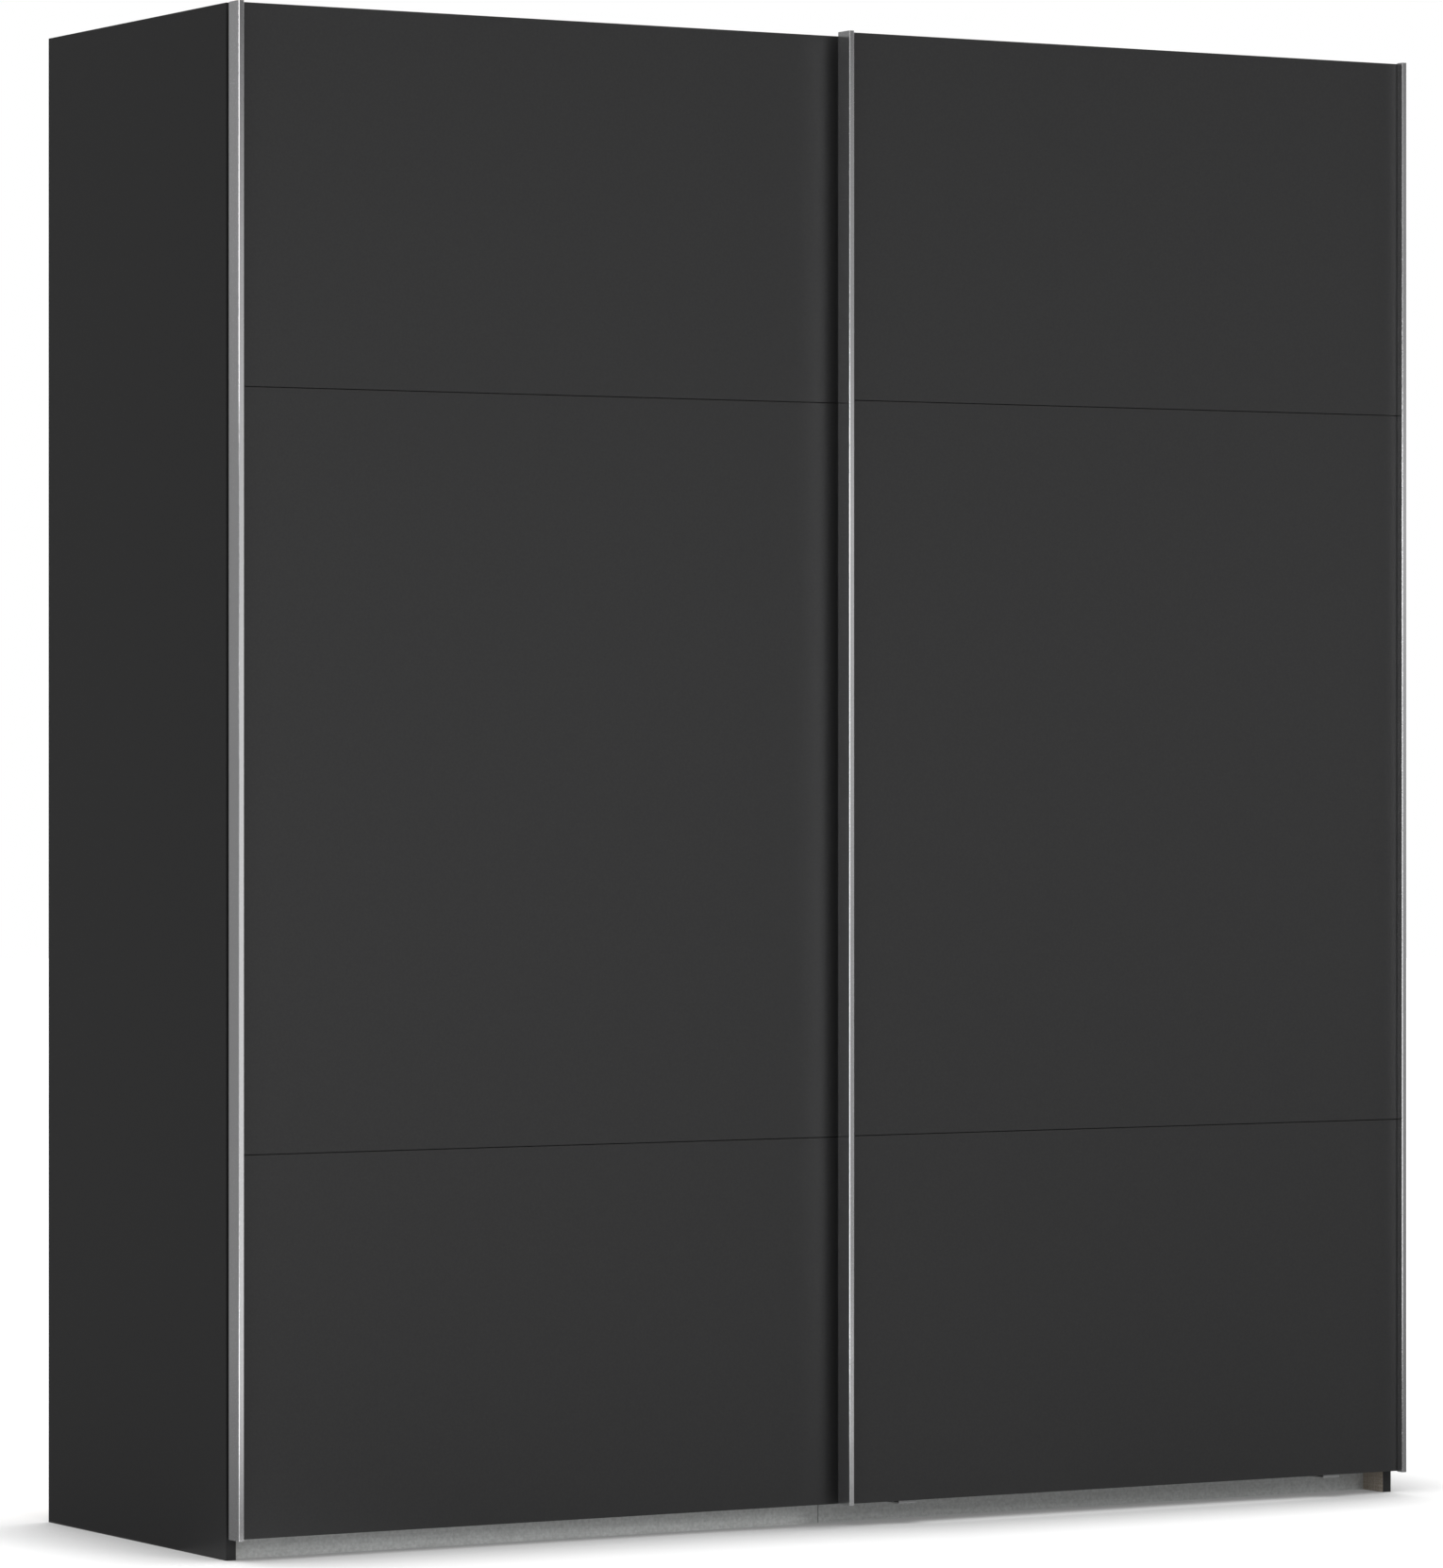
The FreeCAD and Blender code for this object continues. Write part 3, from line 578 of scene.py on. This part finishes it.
# ---- Clothes rails, cups and shelf pins ----------------------------------------------------
# Oval steel tubes, bright chromed, that lie in grey moulded cups on the side walls. The hat
# shelves rest on turned steel pins.
chrome, tree, skin = surface("chromed_steel_tube")
tree.links.new(mixed_colour(tree, spots(tree, 0.05), "d2d3d5", "dcdcdd"), skin.inputs["Base Color"])
rough = add(tree, "MapRange", {3: 0.06, 4: 0.13}, {0: spots(tree, 0.02)})
tree.links.new(rough.outputs[0], skin.inputs["Roughness"])
skin.inputs["Metallic"].default_value = 1
dress(["left_clothes_rail", "right_clothes_rail"], chrome)

grey_plastic, tree, skin = surface("grey_abs")
tree.links.new(mixed_colour(tree, spots(tree, 0.004), "8d8e8f", "979899"), skin.inputs["Base Color"])
skin.inputs["Roughness"].default_value = 0.4
emboss(tree, skin, spots(tree, 0.0006), 0.00003)
dress(["left_clothes_rail_cups", "right_clothes_rail_cups"], grey_plastic)

pin_steel, tree, skin = surface("turned_steel")
place = add(tree, "TexCoord")
turned = add(tree, "TexWave", {"bands_direction": "X", "Scale": 500.0, "Distortion": 1.0},
             {"Vector": place.outputs["Object"]})
tree.links.new(mixed_colour(tree, turned.outputs["Fac"], "a8a8a6", "bcbcb9"), skin.inputs["Base Color"])
skin.inputs["Metallic"].default_value = 1
skin.inputs["Roughness"].default_value = 0.3
dress(["shelf_pins", "inner_door_roller_axles", "outer_door_roller_axles"], pin_steel)

# ---- Door boards ---------------------------------------------------------------------------
# Three graphite boards stacked in each door, 16 mm thick. Black plastic tongues sit in the
# grooves between them, and the joints show as thin dark lines.
DOOR_GLOSS = 0.36  # matched to the object, as the side panels' lower value is
melamine, tree, skin = surface("graphite_melamine")
tree.links.new(graphite(tree, skin, DOOR_GLOSS), skin.inputs["Base Color"])
doors = ("inner_door", "outer_door")
dress([door + "_" + level + "_panel" for door in doors for level in ("upper", "middle", "lower")],
      melamine)
dress([door + "_joint_splines" for door in doors], nylon)

# ---- Grip strips ---------------------------------------------------------------------------
# Satin anodised extrusions over the long edges of the doors, with a hollow grip lip in front.
# Black plugs close the lip, and raised countersunk screws hold the flange behind.
strip_finish = anodised("anodised_grip_strip", "Z")
FLANGE_MIDDLE = 0.007
STRIP_SCREW_INSET = 0.08
STRIP_SCREWS = 7
strip_screw = screw_head(0.0032, 0.0010)
for door in doors:
    dress([door + "_strip_plugs"], nylon)
    for side, inward in (("left", 1), ("right", -1)):
        strip = door + "_" + side + "_grip_strip"
        dress([strip], strip_finish)
        low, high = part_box(strip)
        x = (low.x if inward > 0 else high.x) + inward * FLANGE_MIDDLE
        step = (high.z - low.z - 2 * STRIP_SCREW_INSET) / (STRIP_SCREWS - 1)
        places = [(x, high.y, low.z + STRIP_SCREW_INSET + i * step) for i in range(STRIP_SCREWS)]
        set_out(strip + "_screws", strip_screw, places, (0, 1, 0), door, zinc)
bpy.data.objects.remove(strip_screw)

# ---- Hangers, axles and rollers ------------------------------------------------------------
# Each door hangs on two hangers of bent zinc plated sheet, screwed to its back. An axle holds
# a grooved roller of natural acetal, which turns on a shielded ball bearing.
acetal, tree, skin = surface("natural_acetal")
tree.links.new(mixed_colour(tree, spots(tree, 0.006), "d9d7d0", "e4e2dc"), skin.inputs["Base Color"])
skin.inputs["Roughness"].default_value = 0.32
skin.inputs["Subsurface Weight"].default_value = 0.15
skin.inputs["Subsurface Scale"].default_value = 0.002

HANGER_PLATE = 0.002
HANGER_SCREW_RISE = 0.018
HANGER_SCREW_SPREAD = 0.03
HANGER_TOP_SCREW = 0.02  # the third screw lies this much above the other two
SHIELD_INNER = 0.0054
SHIELD_OUTER = 0.0085
SHIELD_HEIGHT = 0.0004
shield = round_blank(SHIELD_OUTER, SHIELD_HEIGHT, 32)
pick(shield, "FACE", lambda at, normal: abs(normal.z) > FACING)
bpy.ops.mesh.inset(thickness=SHIELD_OUTER - SHIELD_INNER)
bpy.ops.mesh.bridge_edge_loops()
bpy.ops.object.mode_set(mode="OBJECT")
bpy.ops.object.shade_smooth_by_angle(angle=SMOOTH_ANGLE)
for door in doors:
    for side in ("left", "right"):
        hanger = door + "_" + side + "_hanger"
        roller = door + "_" + side + "_roller"
        dress([hanger], zinc)
        dress([roller], acetal)
        low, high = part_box(hanger)
        middle = (low.x + high.x) / 2
        level = low.z + HANGER_SCREW_RISE
        places = [(middle + dx, low.y + HANGER_PLATE, level + rise)
                  for dx, rise in ((-HANGER_SCREW_SPREAD, 0), (HANGER_SCREW_SPREAD, 0),
                                   (0, HANGER_TOP_SCREW))]
        set_out(hanger + "_screws", guide_screw, places, (0, 1, 0), door, zinc)
        low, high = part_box(roller)
        hub = (low + high) / 2
        for end, y, way in (("rear", high.y, (0, 1, 0)), ("front", low.y, (0, -1, 0))):
            set_out(roller + "_" + end + "_shield", shield, [(hub.x, y, hub.z)], way, roller,
                    zinc)
bpy.data.objects.remove(shield)

# ---- Guide shoes and guide arms ------------------------------------------------------------
# Black nylon shoes run in the guide rail. The inner door's are screwed to its back, the outer
# door's sit on bent steel arms with a dull grey zinc flake coat.
dress(["inner_door_guide_shoes", "outer_door_guide_shoes"], nylon)
flake, tree, skin = surface("zinc_flake_coated_steel")
tree.links.new(mixed_colour(tree, spots(tree, 0.002), "9a9b9c", "a8a9aa"), skin.inputs["Base Color"])
skin.inputs["Roughness"].default_value = 0.7
dress(["outer_door_guide_arms"], flake)

SHOE_BASE = 0.004
SHOE_SCREW_RISE = 0.028
SHOE_SCREW_SPREAD = 0.016
ARM_SCREW_RISES = (0.022, 0.040)
shoe_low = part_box("inner_door_guide_shoes")[0]
arm_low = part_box("outer_door_guide_arms")[0]
shoe_places, arm_places = [], []
for side in ("left", "right"):
    low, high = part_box("inner_door_" + side + "_hanger")
    middle = (low.x + high.x) / 2
    shoe_places += [(middle + dx, shoe_low.y + SHOE_BASE, shoe_low.z + SHOE_SCREW_RISE)
                    for dx in (-SHOE_SCREW_SPREAD, SHOE_SCREW_SPREAD)]
    low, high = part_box("outer_door_" + side + "_hanger")
    middle = (low.x + high.x) / 2
    arm_places += [(middle, arm_low.y + HANGER_PLATE, arm_low.z + rise) for rise in ARM_SCREW_RISES]
set_out("guide_shoe_screws", guide_screw, shoe_places, (0, 1, 0), "inner_door",
        zinc)
set_out("guide_arm_screws", guide_screw, arm_places, (0, 1, 0), "outer_door",
        zinc)
bpy.data.objects.remove(guide_screw)
